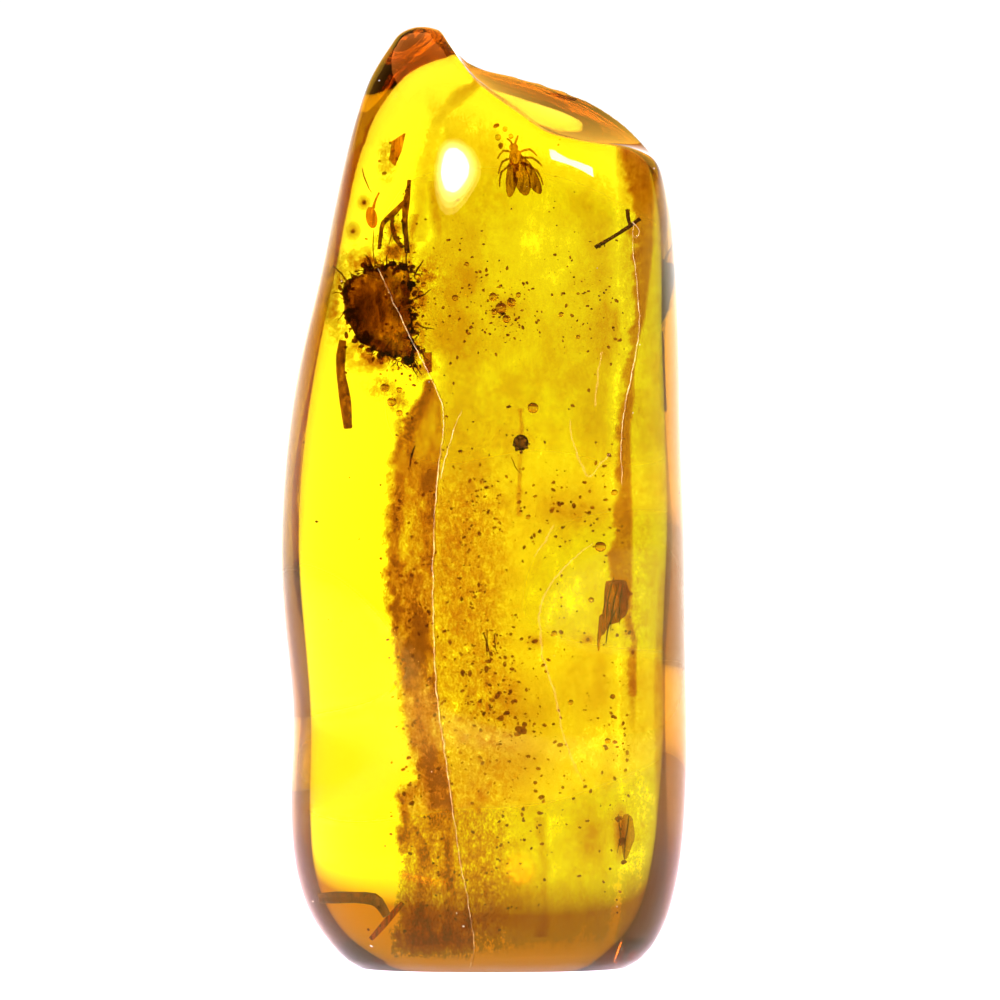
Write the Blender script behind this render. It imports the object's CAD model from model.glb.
"""Looks of a polished piece of amber with a small insect and plant debris sealed in it."""
import math
import random

import bmesh
import bpy
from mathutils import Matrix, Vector, noise
from mathutils.bvhtree import BVHTree


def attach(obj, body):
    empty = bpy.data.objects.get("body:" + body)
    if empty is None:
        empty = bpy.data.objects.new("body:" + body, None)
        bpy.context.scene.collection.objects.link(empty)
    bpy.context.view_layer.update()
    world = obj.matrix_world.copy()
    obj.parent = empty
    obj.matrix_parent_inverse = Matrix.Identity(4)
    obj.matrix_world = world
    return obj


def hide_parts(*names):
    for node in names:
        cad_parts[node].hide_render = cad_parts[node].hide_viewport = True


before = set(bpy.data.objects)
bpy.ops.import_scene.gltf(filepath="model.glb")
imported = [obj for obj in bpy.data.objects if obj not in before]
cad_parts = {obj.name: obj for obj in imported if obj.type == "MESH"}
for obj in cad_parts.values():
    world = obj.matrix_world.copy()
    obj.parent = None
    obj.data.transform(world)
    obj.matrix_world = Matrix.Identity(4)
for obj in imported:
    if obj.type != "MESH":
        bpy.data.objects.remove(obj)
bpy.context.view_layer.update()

bl_info = {
    "name": "Amber with insect",
    "version": (1, 0, 0),
    "blender": (4, 5, 0),
    "location": "3D View > Sidebar > Amber",
    "description": "Builds a clear amber stone with an insect, twigs and bark sealed in it",
    "category": "Add Mesh",
}

MM = 0.001

# The stone, from its flat base up to its peak, in millimetres. Each row is one level
# section: height, left edge, right edge, depth of the front half, depth of the back half.
SECTIONS = (
    (0.0, -5.6, 6.4, 3.0, 3.1),
    (0.45, -6.3, 7.1, 3.65, 3.75),
    (1.35, -7.1, 7.85, 4.35, 4.4),
    (2.7, -7.9, 8.42, 4.98, 5.0),
    (4.8, -8.48, 8.85, 5.42, 5.4),
    (7.8, -8.66, 9.05, 5.65, 5.6),
    (11.3, -8.54, 9.07, 5.7, 5.6),
    (15.0, -8.87, 9.05, 5.6, 5.6),
    (19.0, -9.08, 8.98, 5.5, 5.5),
    (23.0, -8.88, 8.86, 5.3, 5.4),
    (27.0, -8.25, 8.72, 5.1, 5.3),
    (30.5, -7.45, 8.58, 4.9, 5.3),
    (33.5, -6.8, 8.35, 4.7, 5.3),
    (36.0, -6.22, 7.8, 4.35, 5.2),
    (38.0, -5.67, 6.7, 3.8, 4.8),
    (39.7, -5.05, 4.4, 2.95, 3.9),
    (41.1, -4.2, -0.3, 1.65, 2.2),
    (41.75, -3.65, -1.7, 0.8, 0.95),
    (42.0, -2.77, -2.77, 0.0, 0.0),
)
PEAK_RINGS = 5
POWER_LEFT = 2.35
POWER_RIGHT_LOW = 2.1
POWER_RIGHT_HIGH = 2.45
POWER_HEIGHTS = (13.0, 21.0)
UNDULATION = 0.10
UNDULATION_LENGTH = 7.0

# The hollow facet beside the peak. Each row: place across, and the height of the
# facet at its near edge and at its far edge there.
FACET = (
    (-3.0, 43.6, 43.6),
    (-2.0, 42.3, 42.3),
    (-1.2, 40.95, 41.1),
    (-0.6, 39.95, 40.45),
    (0.3, 39.05, 40.15),
    (1.6, 38.1, 39.8),
    (2.8, 37.3, 39.45),
    (4.7, 36.8, 38.85),
    (6.3, 36.6, 37.95),
    (8.0, 36.3, 36.3),
)
FACET_NEAR = -4.0
FACET_FAR = 3.5
FACET_HOLLOW = 0.35

# The seam between the two flows of resin, as a depth that changes with the place.
SEAM_DEPTH = -2.1
SEAM_CURL = 0.024
SEAM_WAVE = 0.35
SEAM_WAVE_LENGTH = 15.0
SEAM_TOP = 33.0
SEAM_LEAN = 0.03


def spline(before, start, end, after, t):
    """Catmull-Rom value between start and end."""
    return 0.5 * (2 * start + (end - before) * t
                  + (2 * before - 5 * start + 4 * end - after) * t * t
                  + (3 * start - before - 3 * end + after) * t ** 3)


def section_at(ring):
    """Height, left, right, front and back of the stone at a fractional ring."""
    last = len(SECTIONS) - 1
    index = min(int(ring), last - 1)
    start, end = SECTIONS[index], SECTIONS[index + 1]
    before = SECTIONS[max(index - 1, 0)]
    after = SECTIONS[min(index + 2, last)]
    if index + 2 > last:
        height, left, right, front, back = SECTIONS[last - 1]
        after = (height, right, left, -back, -front)
    return [spline(*columns, ring - index) for columns in zip(before, start, end, after)]


def eased_section(ring):
    """The same with the joins between the rows eased, so that the polish shows no lines."""
    last = len(SECTIONS) - 1 - PEAK_RINGS
    reach = 0.55 * min(max(min(ring - 1.0, last - 0.5 - ring), 0.0), 1.0)
    if reach == 0.0:
        return section_at(ring)
    rows = [section_at(ring + reach * shift) for shift in (-1.0, -0.5, 0.0, 0.5, 1.0)]
    return [(a + 2 * b + 3 * c + 2 * d + e) / 9 for a, b, c, d, e in zip(*rows)]


def superellipse(angle, height):
    """A point on the unit section, squarer than a circle."""
    cosine, sine = math.cos(angle), math.sin(angle)
    low, high = POWER_HEIGHTS
    rise = min(max((height - low) / (high - low), 0.0), 1.0)
    rise = rise * rise * (3 - 2 * rise)
    right = POWER_RIGHT_LOW + (POWER_RIGHT_HIGH - POWER_RIGHT_LOW) * rise
    power = 2.0 / (right if cosine > 0 else POWER_LEFT)
    return (math.copysign(abs(cosine) ** power, cosine),
            math.copysign(abs(sine) ** power, sine))


def stone_point(u, v, w):
    """The point of the stone for a point on the surface of a cube from -1 to 1."""
    reach = max(abs(u), abs(v))
    top = len(SECTIONS) - 1 - PEAK_RINGS
    ring = top * (w + 1) / 2
    spread = 1.0
    if w > 0.9999:
        ring = top + PEAK_RINGS * (1 - reach)
    elif w < -0.9999:
        spread = reach
    if reach < 1e-6:
        angle = 0.0
    elif abs(u) >= abs(v):
        angle = math.pi / 4 * v / u + (0 if u > 0 else math.pi)
    else:
        angle = math.pi / 2 * math.copysign(1, v) - math.pi / 4 * u / v
    height, left, right, front, back = eased_section(ring)
    along, deep = superellipse(angle, height)
    x = (left + right) / 2 + (right - left) / 2 * along * spread
    y = (front if deep < 0 else back) * deep * spread
    return x, y, height


def hermite(before, start, end, after, column, t):
    """A column of a table between two rows that are unevenly spaced."""
    width = end[0] - start[0]
    leave = (end[column] - before[column]) / (end[0] - before[0]) * width
    arrive = (after[column] - start[column]) / (after[0] - start[0]) * width
    return (start[column] * (1 + 2 * t) * (1 - t) ** 2 + leave * t * (1 - t) ** 2
            + end[column] * t * t * (3 - 2 * t) + arrive * t * t * (t - 1))


def facet_height(x, y):
    """Height of the hollow facet at a place across and a depth."""
    last = len(FACET) - 2
    index = min(max(sum(row[0] <= x for row in FACET) - 1, 0), last)
    start, end = FACET[index], FACET[index + 1]
    before, after = FACET[max(index - 1, 0)], FACET[min(index + 2, last + 1)]
    t = min(max((x - start[0]) / (end[0] - start[0]), 0.0), 1.0)
    near, far = [hermite(before, start, end, after, column, t) for column in (1, 2)]
    across = min(max((y - FACET_NEAR) / (FACET_FAR - FACET_NEAR), 0.0), 1.0)
    return near + (far - near) * across - FACET_HOLLOW * 4 * across * (1 - across)


def seam_depth(x, z):
    """How far back the seam lies at a place across and up the stone."""
    lean = SEAM_LEAN * max(z - SEAM_TOP, 0.0) ** 2
    wave = SEAM_WAVE * math.sin(2 * math.pi * z / SEAM_WAVE_LENGTH)
    return SEAM_DEPTH + SEAM_CURL * x * x + wave + lean


def inside_stone(x, y, z, margin):
    """Whether a point is in the stone, by at least a margin."""
    for (low, *start), (high, *end) in zip(SECTIONS, SECTIONS[1:]):
        if low <= z <= high:
            share = (z - low) / (high - low)
            left, right, front, back = [a + (b - a) * share for a, b in zip(start, end)]
            across = (x - (left + right) / 2) / ((right - left) / 2 - margin)
            deep = y / ((front if y < 0 else back) - margin)
            in_section = abs(across) ** 2.2 + abs(deep) ** 2.2 < 1.0
            return in_section and z < facet_height(x, y) - margin
    return False


def smooth_least(a, b, width):
    """The lesser of two heights, rounded where they meet."""
    blend = max(width - abs(a - b), 0.0) / width
    return min(a, b) - blend * blend * width / 4


def subdivided_cube(across, deep, tall):
    """A cube from -1 to 1 whose sides are cut into a grid."""
    bm = bmesh.new()
    bmesh.ops.create_cube(bm, size=2)
    for axis, count in enumerate((across, deep, tall)):
        edges = [edge for edge in bm.edges
                 if abs(edge.verts[0].co[axis] - edge.verts[1].co[axis]) > 1.9]
        bmesh.ops.subdivide_edges(bm, edges=edges, cuts=count - 1, use_grid_fill=True)
    return bm


def stone_mesh(faces):
    """The whole stone as one fine closed mesh, with its hollow facet worn into it."""
    bm = subdivided_cube(*faces)
    for vert in bm.verts:
        vert.co = Vector(stone_point(*vert.co))
    bm.normal_update()
    rounded_edge = SECTIONS[2][0]
    for vert in bm.verts:
        rise = min(max(vert.co.z / rounded_edge, 0.0), 1.0)
        wave = noise.noise(vert.co / UNDULATION_LENGTH)
        vert.co += vert.normal * UNDULATION * wave * rise
        if vert.co.z > 34.0:
            right = min(max((vert.co.x - 2.0) / 4.0, 0.0), 1.0)
            near = min(max((1.0 - vert.co.y) / 3.0, 0.0), 1.0)
            width = 0.18 + 0.9 * right * near
            vert.co.z = smooth_least(vert.co.z, facet_height(vert.co.x, vert.co.y), width)
    return finished(bm, "amber")


def finished(bm, name):
    """A mesh in metres from one drawn in millimetres, with its faces outwards."""
    bmesh.ops.recalc_face_normals(bm, faces=bm.faces)
    bmesh.ops.scale(bm, vec=(MM, MM, MM), verts=bm.verts)
    mesh = bpy.data.meshes.new(name)
    bm.to_mesh(mesh)
    bm.free()
    return mesh


def new_object(name, mesh):
    obj = bpy.data.objects.new(name, mesh)
    bpy.context.scene.collection.objects.link(obj)
    return obj


def settle(piece):
    """Fix a finished piece to the stone and name its finish."""
    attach(piece, "root")


def new_material(name):
    material = bpy.data.materials.new(name)
    material.use_nodes = True
    return material, material.node_tree.nodes["Principled BSDF"]


def amber_material(settings):
    """Clear resin: plain transmission and index, and plain absorption inside."""
    material, shader = new_material("clear_amber")
    shader.inputs["Base Color"].default_value = (1.0, 1.0, 1.0, 1.0)
    shader.inputs["Roughness"].default_value = 0.0
    shader.inputs["IOR"].default_value = settings.index
    shader.inputs["Specular Tint"].default_value = (1.0, 0.75, 0.13, 1.0)
    shader.inputs["Transmission Weight"].default_value = 1.0
    nodes, links = material.node_tree.nodes, material.node_tree.links
    absorb = nodes.new("ShaderNodeVolumeAbsorption")
    absorb.inputs["Color"].default_value = (*settings.colour, 1.0)
    absorb.inputs["Density"].default_value = settings.density
    links.new(absorb.outputs["Volume"], nodes["Material Output"].inputs["Volume"])
    return material


def math_node(tree, operation, *values):
    """A Math node whose inputs are numbers or other sockets."""
    node = tree.nodes.new("ShaderNodeMath")
    node.operation = operation
    for socket, value in zip(node.inputs, values):
        if isinstance(value, bpy.types.NodeSocket):
            tree.links.new(value, socket)
        else:
            socket.default_value = value
    return node.outputs[0]


def ramp_node(tree, factor, stops):
    """A colour ramp through (place, colour) stops."""
    node = tree.nodes.new("ShaderNodeValToRGB")
    elements = node.color_ramp.elements
    while len(elements) < len(stops):
        elements.new(0.5)
    for element, (place, colour) in zip(elements, stops):
        element.position = place
        element.color = (*colour, 1.0)
    tree.links.new(factor, node.inputs["Fac"])
    return node.outputs["Color"]


def fade_node(tree, place, near, far, at_near, at_far):
    """A value that goes over from one to another with the distance from a place, in metres."""
    coordinate = tree.nodes.new("ShaderNodeTexCoord")
    away = tree.nodes.new("ShaderNodeVectorMath")
    away.operation = "DISTANCE"
    away.inputs[1].default_value = place
    tree.links.new(coordinate.outputs["Object"], away.inputs[0])
    fade = tree.nodes.new("ShaderNodeMapRange")
    fade.interpolation_type = "SMOOTHSTEP"
    values = {"From Min": near, "From Max": far, "To Min": at_near, "To Max": at_far}
    for name, value in values.items():
        fade.inputs[name].default_value = value
    tree.links.new(away.outputs["Value"], fade.inputs["Value"])
    return fade.outputs["Result"]


def attribute_node(tree, name):
    node = tree.nodes.new("ShaderNodeAttribute")
    node.attribute_name = name
    return node.outputs["Fac"]


def noise_node(tree, scale, detail=4.0, stretch=(1.0, 1.0, 1.0), distortion=0.0, roughness=0.6):
    """Noise in the piece's own coordinates; the scale is per millimetre."""
    coordinate = tree.nodes.new("ShaderNodeTexCoord")
    mapping = tree.nodes.new("ShaderNodeMapping")
    mapping.inputs["Scale"].default_value = [scale / MM * factor for factor in stretch]
    node = tree.nodes.new("ShaderNodeTexNoise")
    node.inputs["Scale"].default_value = 1.0
    node.inputs["Detail"].default_value = detail
    node.inputs["Roughness"].default_value = roughness
    node.inputs["Distortion"].default_value = distortion
    tree.links.new(coordinate.outputs["Object"], mapping.inputs["Vector"])
    tree.links.new(mapping.outputs["Vector"], node.inputs["Vector"])
    return node.outputs["Fac"]


def centred(tree, factor, strength):
    """Noise about a half, as a value about nought."""
    return math_node(tree, "MULTIPLY", math_node(tree, "SUBTRACT", factor, 0.5), strength)


FINE_GRAIN = 2.0    # noises finer than this, per millimetre, show only where the stain is grainy


def film_material(name, stops, noises):
    """A thin layer that colours the light that passes through it."""
    material, shader = new_material(name)
    tree = material.node_tree
    value = attribute_node(tree, "stain")
    shown = math_node(tree, "MULTIPLY", value, 8.0)
    shown.node.use_clamp = True
    shown = math_node(tree, "MULTIPLY", shown, math_node(tree, "MULTIPLY_ADD", value, 0.9, 0.7))
    for scale, detail, stretch, strength in noises:
        wave = centred(tree, noise_node(tree, scale, detail, stretch), strength)
        if scale > FINE_GRAIN:
            wave = math_node(tree, "MULTIPLY", wave, attribute_node(tree, "grit"))
        value = math_node(tree, "ADD", value, math_node(tree, "MULTIPLY", wave, shown))
    colour = ramp_node(tree, value, stops)
    tree.links.new(colour, shader.inputs["Base Color"])
    shader.inputs["Roughness"].default_value = 0.0
    shader.inputs["IOR"].default_value = 1.0
    shader.inputs["Specular IOR Level"].default_value = 0.0
    shader.inputs["Transmission Weight"].default_value = 1.0
    return material


def path_at(path, z):
    """Where across a line of (x, z) points, from the top down, is at a height."""
    for (x0, z0), (x1, z1) in zip(path, path[1:]):
        if z1 <= z <= z0:
            return x0 + (x1 - x0) * (z0 - z) / max(z0 - z1, 1e-6)
    return None


def smooth_step(low, high, value):
    t = min(max((value - low) / (high - low), 0.0), 1.0)
    return t * t * (3 - 2 * t)


def ragged(x, z, scale, amount, seed=0.0):
    """A wandering shift that makes an edge ragged."""
    return noise.fractal(Vector((x * scale, seed, z * scale)), 0.8, 2.2, 4) * amount


# Lines in the seam, from the top down, as (across, height).
SEAM_LINE = (
    (-4.35, 31.13), (-3.75, 29.72), (-3.08, 28.18), (-2.35, 26.64), (-1.81, 25.31),
    (-1.73, 23.99), (-1.98, 21.79), (-2.14, 18.26), (-2.1, 14.74), (-1.98, 12.53),
    (-1.56, 9.45), (-1.02, 5.48), (-0.6, 3.06), (-0.43, 1.51), (-0.6, 0.54),
)
BAND_EDGE = (
    (-2.45, 26.3), (-2.67, 25.71), (-3.24, 24.52), (-3.72, 23.2), (-3.87, 21.92),
    (-4.03, 18.26), (-3.79, 15.62), (-3.44, 12.84), (-3.36, 11.65), (-3.04, 10.42),
    (-2.82, 9.8), (-2.72, 9.1), (-2.85, 8.65), (-3.15, 8.3), (-3.45, 7.9), (-3.5, 7.0),
    (-3.36, 5.57), (-3.32, 4.16), (-3.64, 2.18), (-3.87, 0.54),
)
CLOUD_EDGE = (
    (-1.5, 40.0), (-2.1, 38.0), (-2.2, 36.0), (-2.1, 33.5), (-2.6, 31.8), (-3.1, 30.0),
    (-3.0, 28.4), (-2.3, 27.0), (-1.8, 25.4),
)
RIGHT_BAND_NEAR = (
    (5.58, 36.33), (5.95, 34.13), (6.1, 31.92), (6.18, 29.06), (5.95, 27.08),
    (5.65, 25.31), (5.5, 23.99), (5.43, 21.52), (5.16, 20.02), (5.16, 17.69),
    (5.58, 16.5), (5.99, 14.74), (6.03, 12.22),
)
RIGHT_BAND_FAR = (
    (6.63, 36.33), (6.88, 34.13), (6.85, 31.92), (6.66, 29.06), (6.29, 27.52),
    (6.25, 25.53), (6.07, 23.99), (6.03, 21.52), (5.99, 17.69), (5.99, 15.84),
    (6.25, 14.74), (6.29, 12.22),
)
# Thin places in the band: across, height, half width, half height.
BAND_GAPS = (
    (-3.25, 20.3, 0.22, 1.1), (-3.35, 18.9, 0.2, 0.6), (-2.9, 7.1, 0.5, 0.9), (-3.0, 5.4, 0.4, 0.8),
)
BAND_TOP = 25.5
# Where the stained film may lie.
FILM_SPAN = (-6.9, 7.5)
FILM_HEIGHTS = (0.9, 39.4)
# Streaks of flow: half width, stain, and the line from the top down.
STREAKS = (
    (0.34, 0.26, ((-0.43, 39.11), (-0.94, 38.76), (-1.44, 38.18), (-1.85, 37.65), (-2.14, 36.99),
                  (-2.47, 35.01), (-2.67, 32.36))),
    (0.20, 0.55, ((-2.75, 33.6), (-3.0, 32.4), (-3.05, 31.0), (-2.95, 29.0), (-2.9, 27.2))),
    (0.28, 0.40, ((-2.1, 35.0), (-1.9, 33.4), (-1.75, 31.8), (-1.8, 30.4))),
    (0.20, 0.36, ((-1.2, 34.2), (-1.15, 32.6), (-1.0, 30.6))),
    (0.14, 0.50, ((1.62, 25.0), (1.6, 24.0), (1.55, 22.3), (1.5, 20.2))),
    (0.35, 0.36, ((2.3, 7.0), (2.5, 5.0), (2.45, 2.0))),
    (0.42, 0.80, ((-3.05, 15.2), (-2.85, 12.8), (-2.6, 11.0), (-2.3, 9.2))),
)
# Fuzzy brown rot round the bark, and thin skins by the sprig: across, height, half width,
# half height, stain.
ROT = (
    (-3.05, 29.6, 0.60, 1.6, 0.80), (-3.0, 27.9, 0.55, 0.9, 0.70), (-6.1, 30.9, 0.45, 0.8, 0.42),
    (-4.6, 31.4, 1.2, 0.55, 0.62), (-6.1, 29.2, 0.4, 1.0, 0.50), (-2.7, 26.9, 0.55, 0.5, 0.65),
    (-4.6, 27.4, 0.9, 0.6, 0.90), (-3.7, 32.0, 0.6, 0.7, 0.60),
    (-3.75, 32.6, 0.45, 0.8, 0.42), (-3.2, 31.8, 0.40, 1.0, 0.50), (-3.95, 35.9, 0.30, 0.8, 0.35),
    (-2.35, 30.8, 0.6, 0.8, 0.48), (-4.3, 26.0, 0.55, 0.5, 0.30), (-3.6, 25.3, 0.35, 0.6, 0.34),
    (-3.3, 24.2, 0.35, 0.9, 0.38),
)
# Soft clouds: across, height, half width, half height, stain.
CLOUDS = (
    (-1.45, 31.4, 1.0, 1.8, 0.16), (-0.55, 30.7, 0.45, 0.65, 0.30), (-1.2, 28.6, 0.9, 1.2, 0.20),
    (-0.9, 19.6, 1.2, 2.8, 0.26), (-0.6, 15.6, 1.3, 2.0, 0.22), (0.6, 12.3, 1.4, 1.5, 0.18),
    (0.9, 9.2, 1.6, 1.6, 0.16), (-0.3, 6.0, 1.2, 2.6, 0.20), (1.2, 3.4, 2.6, 1.4, 0.18),
    (3.45, 20.5, 1.05, 0.65, 0.24), (4.3, 13.2, 1.1, 1.6, 0.20), (5.2, 8.6, 0.5, 0.8, 0.18),
    (4.35, 5.9, 0.55, 1.1, 0.26), (5.55, 6.3, 0.32, 1.2, 0.60), (5.45, 28.6, 0.4, 1.4, 0.38),
    (0.95, 29.6, 0.65, 0.5, 0.30), (2.26, 28.84, 0.5, 0.5, 0.12), (4.27, 14.82, 0.22, 0.2, 0.36),
    (2.10, 14.74, 0.30, 0.25, 0.34), (-4.89, 34.08, 0.2, 0.24, 0.42), (-5.35, 32.81, 0.24, 0.3, 0.45),
    (1.56, 23.4, 0.75, 0.7, 0.16), (3.0, 26.0, 2.2, 3.0, 0.06), (6.1, 12.0, 0.22, 2.0, 0.30),
    (-0.3, 4.2, 1.8, 1.6, 0.18), (5.0, 27.5, 0.9, 5.5, 0.16), (4.4, 20.5, 0.9, 0.7, 0.16),
    (4.7, 30.0, 1.3, 3.6, 0.15), (4.6, 33.5, 1.2, 1.6, 0.10), (-0.8, 2.4, 2.2, 1.2, 0.14),
)
# Bubbles and black specks in the seam: across, height, radius in hundredths of a millimetre.
BUBBLES = (
    (4.77, 18.92, 24), (5.35, 21.26, 14), (2.10, 25.05, 26), (-4.31, 27.12, 16), (-4.15, 25.93, 20),
    (-3.56, 25.84, 14), (-3.56, 24.83, 15), (-3.87, 25.31, 22), (-2.75, 30.82, 17), (-2.51, 30.47, 12),
    (-2.63, 30.07, 14), (0.94, 37.21, 12), (0.64, 36.86, 15), (1.19, 36.90, 12), (0.40, 29.95, 20),
    (0.75, 29.45, 28), (1.20, 29.72, 22), (0.98, 28.98, 20), (0.45, 29.30, 16), (1.50, 30.05, 13),
    (2.90, 15.1, 14), (3.6, 12.0, 12), (4.4, 16.6, 13), (-1.2, 29.9, 15), (-0.7, 31.4, 11),
    (5.1, 10.3, 13), (1.9, 20.2, 11), (3.3, 29.2, 12), (4.0, 28.2, 10),
)
SPECKS = (
    (1.38, 23.60, 15), (1.75, 23.62, 14), (1.80, 23.30, 15), (1.42, 23.22, 16), (1.60, 23.10, 14),
    (1.56, 23.74, 11), (1.92, 23.45, 9), (1.30, 23.42, 11),
    (-6.74, 19.94, 10), (-5.54, 21.92, 5), (-4.31, 21.61, 7), (-4.03, 20.29, 6), (-5.12, 19.19, 5),
    (-4.27, 17.73, 6), (-6.29, 15.71, 6), (-5.80, 15.66, 5), (0.09, 21.79, 8), (0.64, 21.79, 8),
    (-0.09, 21.43, 8), (-0.43, 20.73, 6), (1.60, 20.60, 7), (3.08, 22.27, 6), (3.64, 20.86, 9),
    (3.83, 16.10, 7), (3.20, 16.32, 7), (3.04, 17.29, 6), (3.68, 7.82, 12), (4.70, 11.30, 8),
    (5.04, 30.16, 9), (5.12, 30.29, 7), (4.85, 30.03, 9), (4.23, 30.12, 6), (3.83, 34.52, 6),
    (3.00, 33.86, 6), (3.04, 34.13, 5), (3.12, 33.11, 6), (1.23, 33.82, 7), (0.68, 31.57, 7),
    (0.17, 31.53, 6), (1.19, 29.72, 8), (0.68, 29.06, 9), (0.94, 28.66, 8), (1.35, 28.93, 7),
    (3.60, 25.00, 6), (3.40, 22.23, 6), (4.89, 29.85, 7), (-1.69, 26.50, 7), (4.93, 18.26, 7),
)
# Brown crumbs, in the same way.
DEBRIS = (
    (-0.89, 13.37, 15), (-0.60, 13.33, 13), (0.09, 13.50, 14), (0.17, 13.85, 13), (0.85, 13.72, 11),
    (1.15, 13.50, 10), (0.55, 12.31, 15), (0.34, 12.14, 12), (1.10, 12.53, 12), (1.31, 12.09, 12),
    (0.72, 11.34, 18), (0.94, 11.56, 14), (1.56, 10.81, 24), (1.69, 11.03, 15), (1.40, 10.64, 14),
    (-0.13, 10.81, 11), (3.16, 10.15, 12), (2.95, 10.28, 9), (5.04, 9.98, 11), (5.39, 10.24, 11),
    (5.88, 9.45, 10), (5.80, 9.01, 10), (-4.89, 34.08, 14), (-5.35, 32.81, 13), (2.26, 28.84, 10),
    (2.87, 20.51, 13), (3.16, 20.77, 12), (3.75, 20.69, 11), (4.35, 20.38, 11), (2.10, 14.74, 13),
    (4.27, 14.82, 12), (3.16, 15.18, 11), (-4.07, 35.36, 11), (-3.72, 36.33, 9), (-3.56, 35.98, 10),
    (-3.83, 36.68, 9), (-4.27, 35.89, 9), (5.54, 29.81, 10), (5.69, 28.05, 10), (5.43, 28.62, 9),
    (5.20, 22.93, 11), (5.31, 12.22, 16), (5.46, 15.00, 11), (5.95, 15.13, 10), (6.10, 14.21, 10),
    (2.14, 8.52, 12), (2.39, 7.90, 14), (2.32, 7.2, 12), (-3.3, 8.0, 14), (-3.0, 7.6, 12),
    (-3.1, 9.6, 10), (0.55, 37.35, 14), (0.75, 36.5, 16), (5.6, 5.9, 20), (5.5, 6.9, 16), (5.7, 5.0, 14),
)
# The outline of the rotten bark, and lines along the twigs, as (across, height).
BARK_OUTLINE = (
    (-5.69, 30.4), (-4.85, 31.1), (-3.68, 31.35), (-3.03, 31.05), (-3.03, 28.85), (-2.92, 26.85),
    (-3.68, 27.15), (-4.46, 27.5), (-5.43, 28.4), (-5.72, 29.7), (-5.69, 30.4),
)
TWIG_LINES = (
    ((-5.77, 27.78), (-5.73, 26.41), (-5.54, 24.21)),
    ((-3.16, 34.88), (-3.28, 33.47), (-3.2, 31.92)),
    ((-3.28, 33.86), (-4.03, 33.25), (-4.27, 32.1)),
    ((-3.75, 33.42), (-3.6, 32.63), (-3.28, 32.14)),
    ((4.66, 32.06), (5.5, 32.67), (6.22, 33.2)),
)
# Where fine dust lies thickest: across, height, spread across, spread in height, share.
DUST = (
    (-0.3, 16.0, 1.1, 3.4, 4.0), (0.6, 12.0, 1.1, 2.0, 4.0), (1.6, 7.5, 1.3, 2.4, 2.5),
    (-3.0, 14.0, 0.5, 6.0, 3.0), (-3.3, 29.0, 0.9, 1.6, 3.0), (0.4, 20.8, 1.2, 1.2, 2.0),
    (3.6, 20.5, 1.3, 1.2, 1.5), (4.4, 29.6, 0.9, 1.4, 1.5), (1.0, 29.3, 0.8, 1.0, 2.0),
    (2.0, 25.0, 2.6, 7.0, 1.4), (-1.2, 31.0, 1.0, 2.6, 2.0), (5.6, 10.0, 0.4, 4.0, 1.5),
    (3.6, 12.0, 1.6, 4.0, 1.5), (-1.0, 4.5, 1.6, 2.4, 2.0),
)
DUST_HEIGHTS = (2.0, 37.0)
DUST_REACH = 6.0
# Nicks in the polish, as (across, height, size in hundredths of a millimetre).
SURFACE_SCRATCHES = (
    (-7.6, 3.1, 7), (-5.0, 1.2, 8), (-4.65, 39.6, 6), (6.9, 37.05, 8), (7.2, 36.4, 6), (7.55, 35.7, 6),
    (-3.9, 38.9, 4), (-2.3, 9.1, 4), (-1.2, 2.8, 4), (-0.9, 2.2, 5), (5.9, 3.0, 4), (6.9, 27.9, 5),
    (6.6, 24.9, 4), (-2.4, 26.3, 4), (5.0, 31.3, 3), (1.9, 34.9, 3), (3.1, 14.2, 3), (-6.3, 30.7, 4),
)
# Lines on the polished front, as (across, height) from the top down.
SEAM_CRACK = (
    (-4.67, 31.28), (-4.01, 29.85), (-3.26, 28.28), (-2.46, 26.72), (-1.89, 25.38), (-1.8, 24.04),
    (-2.07, 21.81), (-2.24, 18.23), (-2.2, 14.66), (-2.07, 12.42), (-1.63, 9.29), (-1.06, 5.27),
    (-0.62, 2.82), (-0.44, 1.25), (-0.62, 0.27),
)
SECOND_CRACK = ((-0.97, 25.02), (-1.28, 24.26), (-1.63, 23.15), (-1.89, 22.03))
RIGHT_CRACK = (
    (6.6, 33.33), (6.6, 32.08), (6.78, 30.52), (6.87, 28.69), (6.56, 26.72), (6.16, 24.71),
    (6.07, 23.15), (6.12, 21.72),
)
SHADE_SHIFT = 0.07
LOOP_CRACK = ((6.56, 33.33), (6.73, 33.15), (6.87, 32.89), (6.73, 32.62), (6.56, 32.8))
HOOK_LINE = ((3.79, 24.58), (4.05, 23.24), (4.62, 22.12), (5.11, 22.61), (5.59, 23.1))
HAIR_LINE = (
    (4.8, 19.17), (3.87, 18.41), (3.17, 17.69), (2.68, 16.85), (2.46, 16.13), (2.51, 15.1),
    (2.6, 14.21), (2.95, 13.09), (3.3, 11.97), (3.43, 10.99), (3.79, 9.96), (4.4, 8.49),
)
GOLD_LINES = (
    HOOK_LINE, HAIR_LINE, ((2.2, 18.6), (2.7, 19.3), (3.1, 20.0)), ((5.2, 27.6), (5.0, 26.2), (4.9, 25.2)),
)
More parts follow.
